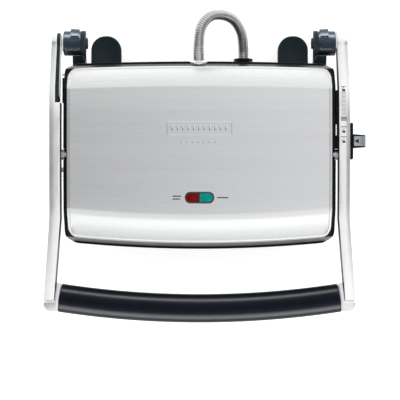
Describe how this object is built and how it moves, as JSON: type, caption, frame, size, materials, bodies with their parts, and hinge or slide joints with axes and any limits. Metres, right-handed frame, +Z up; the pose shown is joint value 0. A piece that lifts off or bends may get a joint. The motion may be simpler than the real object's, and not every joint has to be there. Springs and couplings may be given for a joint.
{
  "type": "panini press",
  "caption": "Contact grill with a floating arched lid carried between two arms, a full-width bowed handle, barrel hinges, a height slider and a flexible wiring conduit behind.",
  "frame": {"origin": "centre of the whole press's footprint box, on the surface that its feet stand on", "axes": "+Z up, +X to the right as seen from the handle, +Y from the handle towards the hinges"},
  "size_m": [0.3624, 0.3573, 0.1184],
  "materials": {
    "black_plastic": "moulded black, fine satin texture",
    "slate_plastic": "dark slate, glass-filled, satin",
    "grip": "soft-touch overmould, satin",
    "foot_rubber": "moulded rubber, matte",
    "stainless": "brushed along the width",
    "steel": "turned or drawn, satin",
    "arm_alloy": "die-cast, satin silver lacquer",
    "conduit_metal": "wound steel strip, satin",
    "element_nickel": "heat-dulled nickel alloy sheath",
    "bright_sheet": "mill-finish aluminised sheet",
    "non_stick": "cast plate with a dark non-stick coating",
    "ceramic": "unglazed steatite",
    "wire_sleeve": "woven glass-fibre sleeving",
    "red_lens": "clear red moulding",
    "green_lens": "clear green moulding",
    "bezel_metal": "plated, satin"
  },
  "bodies": {
    "base": {"base_shell": "black_plastic", "base_bottom_cover": "black_plastic", "lower_plate": "non_stick", "lower_element": "element_nickel", "lower_reflector": "bright_sheet", "terminal_block": "ceramic", "base_harness": "wire_sleeve", "mains_gland": "foot_rubber", "conduit_base_collar": "black_plastic", "conduit": "conduit_metal", "foot_front_left": "foot_rubber", "foot_front_right": "foot_rubber", "foot_rear_left": "foot_rubber", "foot_rear_right": "foot_rubber", "rear_stand_left": "slate_plastic", "rear_stand_right": "slate_plastic", "hinge_tower_left": "slate_plastic", "hinge_tower_right": "slate_plastic", "hinge_pin_left": "steel", "hinge_pin_right": "steel", "base_screw_1": "steel", "base_screw_2": "steel", "base_screw_3": "steel", "base_screw_4": "steel"},
    "hinge_knuckles": {"hinge_barrel_left": "slate_plastic", "hinge_barrel_right": "slate_plastic", "torsion_spring_left": "steel", "torsion_spring_right": "steel", "hinge_washer_left": "arm_alloy", "hinge_washer_right": "arm_alloy"},
    "arm_frame": {"arm_left": "arm_alloy", "arm_right": "arm_alloy", "arm_insert_left": "slate_plastic", "spring_rod_left": "steel", "height_rail": "black_plastic", "handle_core": "steel", "handle_grip": "grip", "handle_end_left": "arm_alloy", "handle_end_right": "arm_alloy", "pivot_pin_left": "steel", "pivot_pin_right": "steel"},
    "lid": {"lid_frame": "black_plastic", "lid_cover": "stainless", "upper_plate": "non_stick", "upper_element": "element_nickel", "upper_reflector": "bright_sheet", "thermostat": "ceramic", "thermal_fuse": "conduit_metal", "lamp_bezel": "bezel_metal", "lamp_holder": "black_plastic", "lens_red": "red_lens", "lens_green": "green_lens", "lid_harness": "wire_sleeve", "pivot_bush_left": "steel", "pivot_bush_right": "steel", "stop_pin_rear": "steel", "stop_pin_front": "steel", "conduit_lid_collar": "arm_alloy"},
    "slider": {"slider_flange": "black_plastic", "slider_knob": "slate_plastic"}
  },
  "joints": [
    {"name": "open", "type": "hinge", "parent": "base", "child": "hinge_knuckles", "pos_m": [-0.00465, 0.1393, 0.085], "axis": [-1, 0, 0], "range_deg": [0, 105], "deforming": ["conduit"]},
    {"name": "float", "type": "hinge", "parent": "hinge_knuckles", "child": "arm_frame", "pos_m": [-0.00465, 0.1393, 0.085], "axis": [-1, 0, 0], "range_deg": [0, 10]},
    {"name": "lid_tilt", "type": "hinge", "parent": "arm_frame", "child": "lid", "pos_m": [-0.00465, 0.012, 0.104], "axis": [-1, 0, 0], "range_deg": [-10, 0]},
    {"name": "height_slide", "type": "slide", "parent": "arm_frame", "child": "slider", "axis": [0, 1, 0], "range_m": [0, 0.05]}
  ],
  "couplings": [
    {"joint": "lid_tilt", "follows": "float", "ratio": -1}
  ]
}
